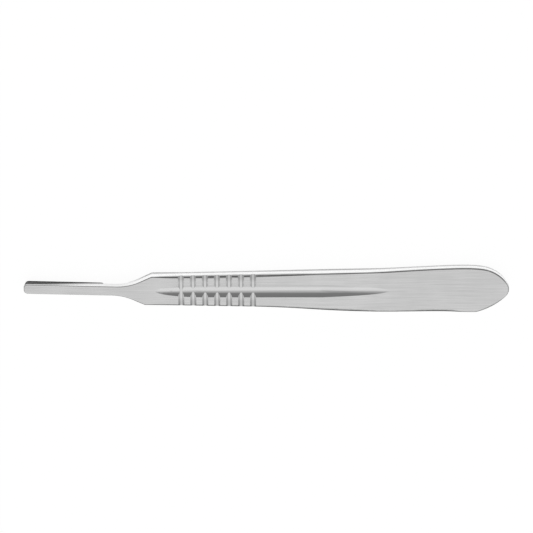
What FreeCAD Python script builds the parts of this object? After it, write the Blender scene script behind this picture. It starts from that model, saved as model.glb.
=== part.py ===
import FreeCAD
import Part
import math
import os

# A forged stainless steel scalpel handle, one piece, lying on its blade side.
# Lengths are measured along it from the tip of the tang, widths from the body's
# long axis, and heights up from the plane that the thick part of the body rests on.

# Overall
length = 135.0
bodyThickness = 3.65
tailThickness = 2.85
draftAngle = 5.5

# Where the faces start and stop thinning, measured from the tail end
thinningStartFromEnd = 52.6
thinningEndFromEnd = 19.3

# Plan of the grip, half widths on the upper and the lower side
upperCornerAt = 35.5
upperCornerWidth = 4.43
lowerCornerAt = 33.5
lowerCornerWidth = 4.40
bodyCornerRadius = 1.5

# Plan of the body towards the tail, places measured from the tail end
upperStraightFromEnd = 39.0
upperStraightWidth = 5.70
upperHollowFromEnd = 30.4
upperHollowWidth = 6.09
upperSwellFromEnd = 22.1
upperSwellWidth = 6.54
crownFromEnd = 13.5
crownWidth = 6.85
lowerStraightFromEnd = 73.0
lowerStraightWidth = 4.90
lowerKneeFromEnd = 59.0
lowerKneeWidth = 5.48
lowerHipFromEnd = 45.0
lowerHipWidth = 6.38
lowerTailFromEnd = 33.0
lowerTailWidth = 6.53

# Nose at the tail end, two long arcs that meet in a small round tip
noseCentreline = 0.30
noseTipRadius = 3.2
noseUpperRadius = 10.4
noseLowerRadius = 17.0
noseCornerRadius = 3.0
noseUpperCornerFromEnd = 6.0
noseUpperCornerWidth = 6.17
noseLowerCornerFromEnd = 8.9
noseLowerCornerWidth = 6.63

# Tang that carries the blade, and the flare behind it
tangWidth = 2.8
tangLean = 1.35
tangTipRadius = 1.0
neckAt = 26.0
flareAngle = 25.0
flareRadius = 15.0

# Blade fitting on the underside of the tang
seatThickness = 2.0
bladeGrooveHeight = 0.5
bladeGrooveDepth = 0.45
lugFlange = 0.3
lugLength = 22.1
lugEndRadius = 0.9
lugNoseLength = 1.2
lugNoseRise = 0.2
shoulderAt = 28.2
shoulderSlant = 25.0
shoulderStep = 0.5
rampEnd = 35.7

# Rounded edges of the faces
gripEdgeRadius = 0.4
palmEdgeRadius = 1.0
tangEdgeRadius = 0.25

# Central channel, one on each face
channelStart = 36.5
channelFullFrom = 50.0
channelFullFromEnd = 52.6
channelEndFromEnd = 33.2
channelRadius = 2.74
channelDepth = 0.70

# Grip grooves across each face
grooveCount = 7
firstGrooveAt = 43.7
groovePitch = 3.33
grooveRadius = 0.86
grooveDepth = 0.63

# How far a cutting shape reaches past what it cuts
overcut = 5.0

partingHeight = bodyThickness / 2
thinning = (bodyThickness - tailThickness) / 2
thinningStart = length - thinningStartFromEnd
thinningEnd = length - thinningEndFromEnd
lowerStraightEnd = length - lowerStraightFromEnd
lowerTailAt = length - lowerTailFromEnd
tangSlope = math.tan(math.radians(tangLean))
seatHeight = bodyThickness - seatThickness
flangeTop = seatHeight - bladeGrooveHeight
flangeBottom = flangeTop - lugFlange
shoulderHeight = seatHeight - shoulderStep


def point(along, across, height=0.0):
    return FreeCAD.Vector(along, across, height)


def segment(start, end):
    return Part.LineSegment(start, end).toShape()


def arc(points):
    return Part.Arc(*points).toShape()


def curve(points, startDirection, endDirection):
    spline = Part.BSplineCurve()
    spline.interpolate(Points=points, InitialTangent=startDirection, FinalTangent=endDirection)
    return spline.toShape()


def mirrored(shape):
    # The same cut from the other face.
    return shape.mirror(point(0, 0, partingHeight), point(0, 0, 1))


def roundedCorner(before, corner, after, radius):
    # Start, middle and end of the arc that rounds a corner.
    back = (before - corner).normalize()
    onward = (after - corner).normalize()
    half = back.getAngle(onward) / 2
    reach = radius / math.tan(half)
    middle = corner + (back + onward).normalize() * (radius / math.sin(half) - radius)
    return [corner + back * reach, middle, corner + onward * reach]


def tangEdge(along, side, inset=0.0):
    return point(along, (neckAt - along) * tangSlope + side * (tangWidth / 2 - inset))


def flareArc(side, bodyCorner):
    # The hollow arc off the tang's edge, up to the straight run to the body's corner.
    opening = point(math.cos(math.radians(flareAngle)), side * math.sin(math.radians(flareAngle)))
    tip = tangEdge(0, side)
    tangDirection = tangEdge(neckAt, side) - tip
    across = point(-opening.y, opening.x)
    reach = (bodyCorner - tip).dot(across) / tangDirection.dot(across)
    return roundedCorner(tip, tip + tangDirection * reach, bodyCorner, flareRadius)


def noseCentre(side, corner, radius):
    # Centre of a long nose arc through a corner, and the ray along which it meets the tip.
    tipCentre = point(length - noseTipRadius, noseCentreline)
    reach = corner - tipCentre
    gap = radius - noseTipRadius
    cosine = (radius ** 2 - gap ** 2 - reach.Length ** 2) / (2 * gap * reach.Length)
    angle = math.atan2(reach.y, reach.x) - side * math.acos(cosine)
    join = point(math.cos(angle), math.sin(angle))
    return tipCentre - join * gap, join


def noseArc(centre, radius, start, join):
    return [centre + ray * radius for ray in (start, (start + join).normalize(), join)]


def blendIntoArc(lineStart, lineEnd, centre, radius):
    # Rounds the nose's lower corner, and gives the ray on which the long arc begins.
    along = (lineEnd - lineStart).normalize()
    inward = point(-along.y, along.x)
    base = lineEnd + inward * noseCornerRadius - centre
    slack = (radius - noseCornerRadius) ** 2 - base.dot(inward) ** 2
    ray = base + along * (math.sqrt(slack) - base.dot(along))
    blendCentre = centre + ray
    ray.normalize()
    middle = blendCentre + (ray - inward).normalize() * noseCornerRadius
    return [blendCentre - inward * noseCornerRadius, middle, centre + ray * radius], ray


def planOutline(height, inset):
    # Closed outline at a height, with the body, but not the tang, drawn in by the inset.
    def upperPoint(fromEnd, width):
        return point(length - fromEnd, width - inset)

    def lowerPoint(fromEnd, width):
        return point(length - fromEnd, inset - width)

    upperStraight = upperPoint(upperStraightFromEnd, upperStraightWidth)
    upperVertex = point(upperCornerAt, upperCornerWidth - inset)
    upperFlare = flareArc(1, upperVertex)
    upperCorner = roundedCorner(upperFlare[2], upperVertex, upperStraight, bodyCornerRadius)
    noseVertex = point(length - noseUpperCornerFromEnd, noseUpperCornerWidth)
    centre, join = noseCentre(1, noseVertex, noseUpperRadius)
    start = (noseVertex - centre).normalize()
    crownDirection = point(start.y, -start.x)
    upperNose = noseArc(centre, noseUpperRadius - inset, start, join)
    upperCurve = [
        upperStraight,
        upperPoint(upperHollowFromEnd, upperHollowWidth),
        upperPoint(upperSwellFromEnd, upperSwellWidth),
        upperPoint(crownFromEnd, crownWidth),
        upperNose[0],
    ]
    upperDirection = (upperStraight - upperVertex).normalize()

    lowerStraight = lowerPoint(lowerStraightFromEnd, lowerStraightWidth)
    lowerVertex = point(lowerCornerAt, inset - lowerCornerWidth)
    lowerFlare = flareArc(-1, lowerVertex)
    lowerCorner = roundedCorner(lowerFlare[2], lowerVertex, lowerStraight, bodyCornerRadius)
    lowerTail = lowerPoint(lowerTailFromEnd, lowerTailWidth)
    noseVertex = point(length - noseLowerCornerFromEnd, -noseLowerCornerWidth)
    centre, join = noseCentre(-1, noseVertex, noseLowerRadius)
    tailEnd = noseVertex + point(0, inset)
    noseCorner, start = blendIntoArc(lowerTail, tailEnd, centre, noseLowerRadius - inset)
    lowerNose = noseArc(centre, noseLowerRadius - inset, start, join)
    lowerCurve = [
        lowerTail,
        lowerPoint(lowerHipFromEnd, lowerHipWidth),
        lowerPoint(lowerKneeFromEnd, lowerKneeWidth),
        lowerStraight,
    ]
    tailDirection = (lowerTail - tailEnd).normalize()
    lowerDirection = (lowerVertex - lowerStraight).normalize()

    upperTip = roundedCorner(tangEdge(0, -1), tangEdge(0, 1), tangEdge(neckAt, 1), tangTipRadius)
    lowerTip = roundedCorner(tangEdge(neckAt, -1), tangEdge(0, -1), tangEdge(0, 1), tangTipRadius)
    edges = [
        segment(lowerTip[2], upperTip[0]),
        arc(upperTip),
        segment(upperTip[2], upperFlare[0]),
        arc(upperFlare),
        segment(upperFlare[2], upperCorner[0]),
        arc(upperCorner),
        segment(upperCorner[2], upperStraight),
        curve(upperCurve, upperDirection, crownDirection),
        arc(upperNose),
        arc([upperNose[2], point(length - inset, noseCentreline), lowerNose[2]]),
        arc(lowerNose[::-1]),
        arc(noseCorner[::-1]),
        segment(noseCorner[0], lowerTail),
        curve(lowerCurve, tailDirection, lowerDirection),
        segment(lowerStraight, lowerCorner[2]),
        arc(lowerCorner[::-1]),
        segment(lowerCorner[0], lowerFlare[2]),
        arc(lowerFlare[::-1]),
        segment(lowerFlare[0], lowerTip[0]),
        arc(lowerTip),
    ]
    outline = Part.Wire(edges)
    outline.translate(point(0, 0, height))
    return outline


def sweepRadius(run, fall):
    # Radius of an arc that leaves a line smoothly and falls this far over the run.
    return (run ** 2 + fall ** 2) / (2 * fall)


def sweepFall(radius, run):
    return radius - math.sqrt(radius ** 2 - run ** 2)


def faceHeight(along):
    # Height of the upper face, which thins along two arcs, one falling away, one levelling.
    if along <= thinningStart:
        return bodyThickness
    if along >= thinningEnd:
        return bodyThickness - thinning
    halfRun = (thinningEnd - thinningStart) / 2
    radius = sweepRadius(halfRun, thinning / 2)
    if along < thinningStart + halfRun:
        return bodyThickness - sweepFall(radius, along - thinningStart)
    return bodyThickness - thinning + sweepFall(radius, thinningEnd - along)


def prism(corners, sweep):
    return Part.Face(Part.makePolygon(corners + corners[:1])).extrude(sweep)


def sideways(corners):
    # A prism across the whole width from corners given as distance along and height.
    span = 2 * (crownWidth + overcut)
    return prism([point(along, -span / 2, height) for along, height in corners], point(0, span))


def underFace():
    # What lies between the parting line and the upper face, drawn wider than the body.
    span = 2 * (crownWidth + overcut)

    def onFace(along):
        return point(along, -span / 2, faceHeight(along))

    middle = (thinningStart + thinningEnd) / 2
    front = point(-overcut, -span / 2, partingHeight)
    back = point(length + overcut, -span / 2, partingHeight)
    profile = Part.Wire([
        segment(front, onFace(-overcut)),
        segment(onFace(-overcut), onFace(thinningStart)),
        arc([onFace(thinningStart), onFace((thinningStart + middle) / 2), onFace(middle)]),
        arc([onFace(middle), onFace((middle + thinningEnd) / 2), onFace(thinningEnd)]),
        segment(onFace(thinningEnd), onFace(length + overcut)),
        segment(onFace(length + overcut), back),
        segment(back, front),
    ])
    return Part.Face(profile).extrude(point(0, span))


def draftedUpperHalf():
    # From the parting line up, the walls lean in by the draft, and the face closes them.
    rise = partingHeight + overcut
    inset = rise * math.tan(math.radians(draftAngle))
    outlines = [planOutline(partingHeight, 0.0), planOutline(partingHeight + rise, inset)]
    return Part.makeLoft(outlines, True, True).common(underFace())


def edgeRadius(vertex):
    # Fine on the tang, grown along the flare, and widest below the palm.
    if vertex.Y > 0 or vertex.X < lowerStraightEnd:
        share = (vertex.X - neckAt) / (upperCornerAt - neckAt)
        share = min(max(share, 0.0), 1.0)
        return tangEdgeRadius + (gripEdgeRadius - tangEdgeRadius) * share
    if vertex.X < lowerTailAt:
        share = (vertex.X - lowerStraightEnd) / (lowerTailAt - lowerStraightEnd)
    else:
        share = (length - vertex.X) / (length - lowerTailAt)
    return gripEdgeRadius + (palmEdgeRadius - gripEdgeRadius) * share


def isFace(surface):
    u0, u1, v0, v1 = surface.ParameterRange
    return surface.normalAt((u0 + u1) / 2, (v0 + v1) / 2).z > math.cos(math.radians(draftAngle))


def rounded(half):
    # Rounds the rim where the upper face meets the walls.
    rims = []
    for number, edge in enumerate(half.Edges, 1):
        onFaces = [isFace(surface) for surface in half.ancestorsOfType(edge, Part.Face)]
        if sorted(onFaces) == [False, True]:
            start, end = edge.Vertexes[0], edge.Vertexes[-1]
            rims.append((number, edgeRadius(start), edgeRadius(end)))
    document = FreeCAD.newDocument()
    base = document.addObject("Part::Feature", "Half")
    base.Shape = half
    rounding = document.addObject("Part::Fillet", "Rounding")
    rounding.Base = base
    rounding.Edges = rims
    document.recompute()
    return rounding.Shape


def underTang():
    # Everything below the tang's seat and below the ramp that thins the neck.
    rampSlope = shoulderHeight / (rampEnd - shoulderAt)
    ramp = sideways([
        (-overcut, -overcut),
        (rampEnd, -overcut),
        (rampEnd, 0.0),
        (rampEnd - seatHeight / rampSlope, seatHeight),
        (-overcut, seatHeight),
    ])
    slant = overcut * math.tan(math.radians(shoulderSlant))
    shoulder = prism([
        point(-overcut, -overcut, -overcut),
        point(shoulderAt - slant, -overcut, -overcut),
        point(shoulderAt + slant, overcut, -overcut),
        point(-overcut, overcut, -overcut),
    ], point(0, 0, seatHeight + overcut))
    return [ramp, shoulder]


def lugPlate(inset, bottom, top):
    # The lug's outline follows the tang's, drawn in where the blade's slot grips it.
    tip = [tangEdge(inset, side, inset) for side in (-1, 1)]
    end = [tangEdge(lugLength - inset, side, inset) for side in (1, -1)]
    corners = tip + end
    radii = [tangTipRadius - inset] * 2 + [lugEndRadius - inset] * 2
    arcs = [
        roundedCorner(corners[i - 1], corners[i], corners[(i + 1) % len(corners)], radii[i])
        for i in range(len(corners))
    ]
    edges = []
    for i, points in enumerate(arcs):
        edges.append(segment(arcs[i - 1][2], points[0]))
        edges.append(arc(points))
    plate = Part.Face(Part.Wire(edges)).extrude(point(0, 0, top - bottom))
    plate.translate(point(0, 0, bottom))
    return plate


def lug():
    # The undercut lug, with its nose eased so that a blade slides on.
    flange = lugPlate(0.0, flangeBottom, flangeTop)
    neck = lugPlate(bladeGrooveDepth, flangeTop, seatHeight)
    ease = sideways([
        (0.0, flangeBottom - overcut),
        (lugNoseLength, flangeBottom - overcut),
        (lugNoseLength, flangeBottom),
        (0.0, flangeBottom + lugNoseRise),
    ])
    return flange.cut(ease).fuse(neck)


def channel():
    # A long boat shape that sweeps in along an arc and runs out straight at the tail.
    axisHeight = bodyThickness + channelRadius - channelDepth
    runIn = channelFullFrom - channelStart
    runInRadius = sweepRadius(runIn, channelDepth)
    channelFullTo = length - channelFullFromEnd
    channelEnd = length - channelEndFromEnd
    runOut = channelEnd - channelFullTo
    runOutSlope = (channelDepth - bodyThickness + faceHeight(channelEnd)) / runOut

    def onSweep(along):
        return point(along, 0, axisHeight - channelRadius + sweepFall(runInRadius, channelFullFrom - along))

    start = onSweep(channelStart - overcut)
    middle = onSweep((channelStart - overcut + channelFullFrom) / 2)
    fullFrom = onSweep(channelFullFrom)
    fullTo = point(channelFullTo, 0, fullFrom.z)
    end = point(channelEnd + overcut, 0, fullFrom.z + runOutSlope * (runOut + overcut))
    axisStart = point(start.x, 0, axisHeight)
    axisEnd = point(end.x, 0, axisHeight)
    profile = Part.Wire([
        arc([start, middle, fullFrom]),
        segment(fullFrom, fullTo),
        segment(fullTo, end),
        segment(end, axisEnd),
        segment(axisEnd, axisStart),
        segment(axisStart, start),
    ])
    return Part.Face(profile).revolve(axisStart, point(1, 0), 360)


def gripGrooves():
    span = 2 * (crownWidth + overcut)
    axisHeight = bodyThickness + grooveRadius - grooveDepth
    return [
        Part.makeCylinder(
            grooveRadius, span, point(firstGrooveAt + i * groovePitch, -span / 2, axisHeight), point(0, 1)
        )
        for i in range(grooveCount)
    ]


upperHalf = rounded(draftedUpperHalf())
blank = upperHalf.fuse(mirrored(upperHalf))
faceCuts = [channel()] + gripGrooves()
cuts = faceCuts + [mirrored(cut) for cut in faceCuts] + underTang()
handle = blank.cut(cuts).fuse(lug())

box = handle.optimalBoundingBox(False)
handle.translate(point(-box.Center.x, -box.Center.y, -box.ZMin))
print("valid", handle.isValid(), "solids", len(handle.Solids), "volume", handle.Volume, box)
os.makedirs("parts", exist_ok=True)
handle.exportStep("parts/handle.step")
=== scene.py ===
import math

import bpy
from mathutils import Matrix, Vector

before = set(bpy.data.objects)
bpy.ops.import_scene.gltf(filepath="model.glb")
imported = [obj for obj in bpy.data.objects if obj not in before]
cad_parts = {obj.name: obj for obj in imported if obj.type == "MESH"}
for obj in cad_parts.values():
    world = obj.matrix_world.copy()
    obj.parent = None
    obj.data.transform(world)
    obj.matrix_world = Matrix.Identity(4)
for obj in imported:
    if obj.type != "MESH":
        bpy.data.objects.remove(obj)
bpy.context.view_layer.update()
print("frame loaded", sorted(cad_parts))


def srgb(hexColour):
    # An sRGB hex colour as the linear colour that Blender's sockets take.
    def linear(value):
        return value / 12.92 if value <= 0.04045 else ((value + 0.055) / 1.055) ** 2.4

    return tuple(linear(int(hexColour[i:i + 2], 16) / 255) for i in (1, 3, 5)) + (1.0,)


def addNode(tree, kind, settings=None, **links):
    # A node with its settings and inputs. A link's value is a socket or a plain value, and its
    # name is the input's own, or in and the input's number where several share a name.
    node = tree.nodes.new(kind)
    for name, value in (settings or {}).items():
        setattr(node, name, value)
    for name, value in links.items():
        numbered = name.startswith("in") and name[2:].isdigit()
        key = int(name[2:]) if numbered else name.replace("_", " ")
        if isinstance(value, bpy.types.NodeSocket):
            tree.links.new(value, node.inputs[key])
        else:
            node.inputs[key].default_value = value
    return node


def newTree(owner):
    owner.use_nodes = True
    owner.node_tree.nodes.clear()
    return owner.node_tree


def setRamp(node, stops):
    elements = node.color_ramp.elements
    while len(elements) > 1:
        elements.remove(elements[-1])
    elements[0].position, elements[0].color = stops[0][0], srgb(stops[0][1])
    for position, colour in stops[1:]:
        elements.new(position).color = srgb(colour)


# Node settings that come back
smooth = {"interpolation_type": "SMOOTHSTEP"}
multiply = {"operation": "MULTIPLY"}
absolute = {"operation": "ABSOLUTE"}
colours = {"data_type": "RGBA"}
numbers = {"data_type": "FLOAT"}

# Brushed stainless steel. Only the flat faces touched the belt, so they read as an even
# satin grey with thin lengthwise streaks. Walls, channel and grooves kept their polish and
# mirror the white table and the darker room more sharply. Painted shade: the grooves are a
# little darker than the face, and a darker rim colour draws the dark line along each edge.
steel = {
    "faceLight": "#EDEDED",
    "faceDark": "#E0E0E0",
    "polished": "#EDEDED",
    # painted shade in the grooves' hollows
    "groove": "#D8D8D8",
    # painted shade for the dark line along each edge
    "rim": "#C0C0C0",
    "wall": "#F8F8F8",
    "beltedRoughness": 0.24,
    "polishedRoughness": 0.12,
    "beltedAbove": (0.95, 0.995),  # how upright a surface is where the belt began to touch
    "middleHeight": 0.001825,  # of the body, from the table
    "bodyFace": (0.00168, 0.00178),  # how far a belted face lies from the middle, up to the tail
    "tailFrom": (0.0145, 0.0155),  # past here the faces thin, and the height no longer tells
    "wallBelow": (0.45, 0.15),  # how upright a surface is where a wall begins
    "rimBeyond": (0.0020, 0.0036),  # distance from the long axis
    "rimLean": (0.05, 0.25),  # how far a rim leans sideways, which a groove's sides don't
    "streakWidthMm": 0.4,  # a real belt line is about 0.03 mm, too fine to show
    "streakLengthMm": 12.0,
    "streakDetail": 3.0,
    "cloudMm": 8.0,
    "cloudDetail": 2.0,
    "cloudShare": 0.4,
    "contrast": (0.36, 0.64),  # the grain that reads as the face's dark and light tone
    "bump": 0.05,
}


def brushedStainlessSteel():
    material = bpy.data.materials.new("brushed_stainless_steel")
    tree = newTree(material)
    place = addNode(tree, "ShaderNodeTexCoord")
    along, across = 1000 / steel["streakLengthMm"], 1000 / steel["streakWidthMm"]
    stretched = addNode(
        tree, "ShaderNodeMapping", Vector=place.outputs["Object"], Scale=(along, across, across),
    )
    streaks = addNode(
        tree, "ShaderNodeTexNoise", Vector=stretched.outputs[0],
        Scale=1.0, Detail=steel["streakDetail"],
    )
    clouds = addNode(
        tree, "ShaderNodeTexNoise", Vector=place.outputs["Object"],
        Scale=1000 / steel["cloudMm"], Detail=steel["cloudDetail"],
    )
    grain = addNode(
        tree, "ShaderNodeMix", numbers, in0=steel["cloudShare"],
        in2=streaks.outputs["Fac"], in3=clouds.outputs["Fac"],
    )
    weight = addNode(
        tree, "ShaderNodeMapRange", Value=grain.outputs[0],
        From_Min=steel["contrast"][0], From_Max=steel["contrast"][1],
    )
    normal = addNode(tree, "ShaderNodeSeparateXYZ", Vector=place.outputs["Normal"])
    upright = addNode(tree, "ShaderNodeMath", absolute, in0=normal.outputs["Z"])
    flat = addNode(
        tree, "ShaderNodeMapRange", smooth, Value=upright.outputs[0],
        From_Min=steel["beltedAbove"][0], From_Max=steel["beltedAbove"][1],
    )
    axes = addNode(tree, "ShaderNodeSeparateXYZ", Vector=place.outputs["Object"])
    offMiddle = addNode(
        tree, "ShaderNodeMath", {"operation": "SUBTRACT"},
        in0=axes.outputs["Z"], in1=steel["middleHeight"],
    )
    high = addNode(tree, "ShaderNodeMath", absolute, in0=offMiddle.outputs[0])
    bodyFace = addNode(
        tree, "ShaderNodeMapRange", Value=high.outputs[0],
        From_Min=steel["bodyFace"][0], From_Max=steel["bodyFace"][1],
    )
    tailFace = addNode(
        tree, "ShaderNodeMapRange", Value=axes.outputs["X"],
        From_Min=steel["tailFrom"][0], From_Max=steel["tailFrom"][1],
    )
    reached = addNode(
        tree, "ShaderNodeMath", {"operation": "MAXIMUM"},
        in0=bodyFace.outputs[0], in1=tailFace.outputs[0],
    )
    belted = addNode(
        tree, "ShaderNodeMath", multiply, in0=flat.outputs[0], in1=reached.outputs[0],
    )
    wall = addNode(
        tree, "ShaderNodeMapRange", smooth, Value=upright.outputs[0],
        From_Min=steel["wallBelow"][0], From_Max=steel["wallBelow"][1],
    )
    face = addNode(
        tree, "ShaderNodeMix", colours, in0=weight.outputs[0],
        in6=srgb(steel["faceDark"]), in7=srgb(steel["faceLight"]),
    )
    outward = addNode(tree, "ShaderNodeMath", absolute, in0=axes.outputs["Y"])
    outer = addNode(
        tree, "ShaderNodeMapRange", smooth, Value=outward.outputs[0],
        From_Min=steel["rimBeyond"][0], From_Max=steel["rimBeyond"][1],
    )
    lean = addNode(tree, "ShaderNodeMath", absolute, in0=normal.outputs["Y"])
    leaning = addNode(
        tree, "ShaderNodeMapRange", smooth, Value=lean.outputs[0],
        From_Min=steel["rimLean"][0], From_Max=steel["rimLean"][1],
    )
    # where the rims' painted shade goes: away from the long axis and leaning sideways
    rim = addNode(
        tree, "ShaderNodeMath", multiply, in0=outer.outputs[0], in1=leaning.outputs[0],
    )
    # painted shade: the grooves, away from the long axis, darker than the polished channel
    grooveShade = addNode(
        tree, "ShaderNodeMix", colours, in0=outer.outputs[0],
        in6=srgb(steel["polished"]), in7=srgb(steel["groove"]),
    )
    rounded = addNode(
        tree, "ShaderNodeMix", colours, in0=rim.outputs[0],
        in6=grooveShade.outputs[2], in7=srgb(steel["rim"]),
    )
    sides = addNode(
        tree, "ShaderNodeMix", colours, in0=wall.outputs[0],
        in6=rounded.outputs[2], in7=srgb(steel["wall"]),
    )
    paint = addNode(
        tree, "ShaderNodeMix", colours, in0=belted.outputs[0],
        in6=sides.outputs[2], in7=face.outputs[2],
    )
    roughness = addNode(
        tree, "ShaderNodeMix", numbers, in0=belted.outputs[0],
        in2=steel["polishedRoughness"], in3=steel["beltedRoughness"],
    )
    bump = addNode(
        tree, "ShaderNodeBump", Height=streaks.outputs["Fac"], Strength=steel["bump"],
        Distance=steel["streakWidthMm"] / 1000,
    )
    shader = addNode(
        tree, "ShaderNodeBsdfPrincipled", Metallic=1.0, Roughness=roughness.outputs[0],
        Base_Color=paint.outputs[2], Normal=bump.outputs[0],
    )
    addNode(tree, "ShaderNodeOutputMaterial", Surface=shader.outputs[0])
    return material


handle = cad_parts["handle"]
handle.data.materials.clear()
handle.data.materials.append(brushedStainlessSteel())
print("handle finished")

# White table. It keeps the handle's shadow and looks white to the camera. The steel sees it
# white on the camera's side, in shade behind the handle, under the raised tang and at the
# handle's foot, and dimmer further off. That draws the wall's grey and white stripes.
table = {
    "size": 4.0,
    "clearance": 0.00002,
    "paint": "#F2F2F2",
    "shadedPaint": "#6E6E6E",
    "cameraPaint": "#6A6A6A",  # what the camera sees of the shadow
    "cameraGlow": 0.94,
    "glossyGlow": 0.70,
    "shadeFrom": -0.0055,  # from the shade behind the handle to the light before it
    "shadeTo": 0.004,
    "tangShadeLine": (0.09, 1.0, 0.0),  # the raised tang's shade narrows towards the body
    "tangShadeFrom": -0.0027,
    "tangShadeTo": -0.0019,
    "tangShade": 0.08,
    "dimFrom": 0.009,  # past the strip that the wall mirrors to the camera
    "dimTo": 0.018,
    "dimmed": 0.7,
    "contactReach": 0.0012,  # how far the handle's foot keeps the light from the table
    "contactSamples": 8,
    "contactShade": (0.42, 0.92),  # the openness that leaves no glow, and all of it
}


def whiteTable():
    material = bpy.data.materials.new("matt_white_table")
    tree = newTree(material)
    rays = addNode(tree, "ShaderNodeLightPath")
    place = addNode(tree, "ShaderNodeTexCoord")
    axes = addNode(tree, "ShaderNodeSeparateXYZ", Vector=place.outputs["Object"])
    beside = addNode(
        tree, "ShaderNodeMapRange", smooth, Value=axes.outputs["Y"],
        From_Min=table["shadeFrom"], From_Max=table["shadeTo"],
    )
    fromTang = addNode(
        tree, "ShaderNodeVectorMath", {"operation": "DOT_PRODUCT"},
        in0=place.outputs["Object"], in1=table["tangShadeLine"],
    )
    pastTang = addNode(
        tree, "ShaderNodeMapRange", smooth, Value=fromTang.outputs["Value"],
        From_Min=table["tangShadeFrom"], From_Max=table["tangShadeTo"],
        To_Min=table["tangShade"],
    )
    lit = addNode(
        tree, "ShaderNodeMath", multiply, in0=beside.outputs[0], in1=pastTang.outputs[0],
    )
    tone = addNode(
        tree, "ShaderNodeMix", colours, in0=lit.outputs[0],
        in6=srgb(table["shadedPaint"]), in7=srgb(table["paint"]),
    )
    contact = addNode(
        tree, "ShaderNodeAmbientOcclusion", {"samples": table["contactSamples"]},
        Distance=table["contactReach"],
    )
    openness = addNode(
        tree, "ShaderNodeMapRange", Value=contact.outputs["AO"],
        From_Min=table["contactShade"][0], From_Max=table["contactShade"][1],
    )
    fade = addNode(
        tree, "ShaderNodeMath", multiply, in0=lit.outputs[0], in1=openness.outputs[0],
    )
    strength = addNode(
        tree, "ShaderNodeMapRange", smooth, Value=axes.outputs["Y"],
        From_Min=table["dimFrom"], From_Max=table["dimTo"],
        To_Min=table["glossyGlow"], To_Max=table["glossyGlow"] * table["dimmed"],
    )
    level = addNode(
        tree, "ShaderNodeMath", multiply, in0=fade.outputs[0], in1=strength.outputs[0],
    )
    white = srgb("#FFFFFF")
    paint = addNode(tree, "ShaderNodeBsdfDiffuse", Color=srgb(table["paint"]))
    shadow = addNode(tree, "ShaderNodeBsdfDiffuse", Color=srgb(table["cameraPaint"]))
    shine = addNode(tree, "ShaderNodeEmission", Color=white, Strength=table["cameraGlow"])
    backdrop = addNode(tree, "ShaderNodeAddShader", in0=shadow.outputs[0], in1=shine.outputs[0])
    shaded = addNode(tree, "ShaderNodeBsdfDiffuse", Color=tone.outputs[2])
    glow = addNode(tree, "ShaderNodeEmission", Color=white, Strength=level.outputs[0])
    mirrored = addNode(tree, "ShaderNodeAddShader", in0=shaded.outputs[0], in1=glow.outputs[0])
    seenInMetal = addNode(
        tree, "ShaderNodeMath", {"operation": "MAXIMUM"},
        in0=rays.outputs["Is Glossy Ray"], in1=rays.outputs["Is Transmission Ray"],
    )
    indirect = addNode(
        tree, "ShaderNodeMixShader", in0=seenInMetal.outputs[0],
        in1=paint.outputs[0], in2=mirrored.outputs[0],
    )
    shown = addNode(
        tree, "ShaderNodeMixShader", in0=rays.outputs["Is Camera Ray"],
        in1=indirect.outputs[0], in2=backdrop.outputs[0],
    )
    addNode(tree, "ShaderNodeOutputMaterial", Surface=shown.outputs[0])
    return material


half = table["size"] / 2
below = -table["clearance"]
floorMesh = bpy.data.meshes.new("floor")
floorMesh.from_pydata(
    [(x * half, y * half, below) for x, y in ((-1, -1), (1, -1), (1, 1), (-1, 1))],
    [], [(0, 1, 2, 3)],
)
floor = bpy.data.objects.new("floor", floorMesh)
bpy.context.scene.collection.objects.link(floor)
floorMesh.materials.append(whiteTable())
print("table laid")

# Studio: a tent of soft light, plain white to the camera. Angles are degrees from straight up
# towards the camera's side.
studio = {
    "tones": [
        (-180, "#7C7C7C"),
        (-98, "#7C7C7C"),
        (-82, "#D2D2D2"),
        (-60, "#DADADA"),
        (-16, "#D3D3D3"),
        (12, "#808080"),
        (60, "#787878"),
        (82, "#FFFFFF"),
        (180, "#FFFFFF"),
    ],
    "cameraTone": "#FFFFFF",
    "endTone": "#909090",
    "endSharpness": 2.0,
    "softboxPower": 1.0,
    "softboxSize": (2.4, 1.2),
    "softboxAt": (0.0, -0.9, 1.1),
}


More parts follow.
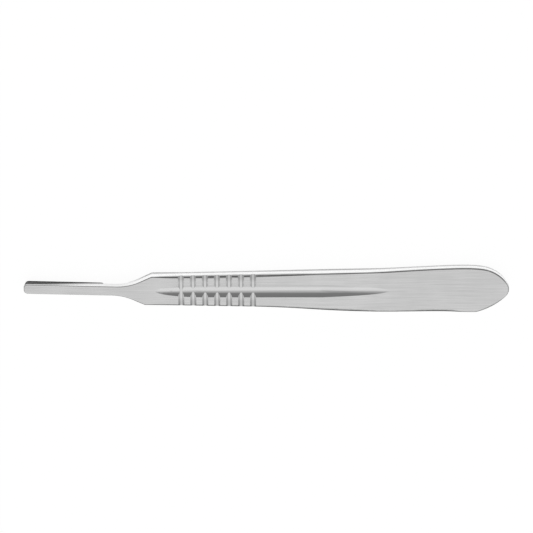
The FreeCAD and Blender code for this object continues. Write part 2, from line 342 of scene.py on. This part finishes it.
def studioTent():
    world = bpy.data.worlds.new("studio_tent")
    bpy.context.scene.world = world
    tree = newTree(world)
    place = addNode(tree, "ShaderNodeTexCoord")
    axes = addNode(tree, "ShaderNodeSeparateXYZ", Vector=place.outputs["Generated"])
    angle = addNode(
        tree, "ShaderNodeMath", {"operation": "ARCTAN2"},
        in0=axes.outputs["Y"], in1=axes.outputs["Z"],
    )
    share = addNode(
        tree, "ShaderNodeMapRange", Value=angle.outputs[0], From_Min=-math.pi, From_Max=math.pi,
    )
    tones = addNode(tree, "ShaderNodeValToRGB", Fac=share.outputs[0])
    setRamp(tones, [(angleStop / 360 + 0.5, colour) for angleStop, colour in studio["tones"]])
    sideways = addNode(
        tree, "ShaderNodeMath", {"operation": "POWER"},
        in0=axes.outputs["X"], in1=studio["endSharpness"],
    )
    tent = addNode(
        tree, "ShaderNodeMix", colours, in0=sideways.outputs[0],
        in6=tones.outputs[0], in7=srgb(studio["endTone"]),
    )
    rays = addNode(tree, "ShaderNodeLightPath")
    seen = addNode(
        tree, "ShaderNodeMix", colours, in0=rays.outputs["Is Camera Ray"],
        in6=tent.outputs[2], in7=srgb(studio["cameraTone"]),
    )
    background = addNode(tree, "ShaderNodeBackground", Color=seen.outputs[2])
    addNode(tree, "ShaderNodeOutputWorld", Surface=background.outputs[0])


def softbox():
    light = bpy.data.lights.new("softbox", "AREA")
    light.shape = "RECTANGLE"
    light.size, light.size_y = studio["softboxSize"]
    light.energy = studio["softboxPower"]
    lamp = bpy.data.objects.new("softbox", light)
    lamp.location = studio["softboxAt"]
    lamp.rotation_euler = (-lamp.location).to_track_quat("-Z", "Y").to_euler()
    bpy.context.scene.collection.objects.link(lamp)


studioTent()
softbox()
print("studio lit")

# Camera, leaning over the edge that is the upper one in the picture
shot = {
    "tilt": 21.0,  # degrees from straight down
    "lens": 100.0,
    "sensor": 36.0,
    "frameWidth": 0.1482,  # what the frame spans at the height of the handle's face
    "faceHeight": 0.0030,
    "aimUp": 0.00546,  # from the part's origin to the frame's middle
    "aimRight": -0.00008,
    "clip": (0.01, 20.0),
}
tilt = math.radians(shot["tilt"])
up = Vector((0, math.cos(tilt), -math.sin(tilt)))
back = Vector((0, math.sin(tilt), math.cos(tilt)))
distance = shot["frameWidth"] * shot["lens"] / shot["sensor"] + shot["faceHeight"]
cameraData = bpy.data.cameras.new("camera")
cameraData.lens = shot["lens"]
cameraData.sensor_width = shot["sensor"]
cameraData.clip_start, cameraData.clip_end = shot["clip"]
camera = bpy.data.objects.new("camera", cameraData)
camera.location = Vector((shot["aimRight"], 0, 0)) + up * shot["aimUp"] + back * distance
camera.rotation_euler = (-tilt, 0, 0)
bpy.context.scene.collection.objects.link(camera)
bpy.context.scene.camera = camera
bpy.context.scene.view_settings.view_transform = "Standard"
print("camera placed")
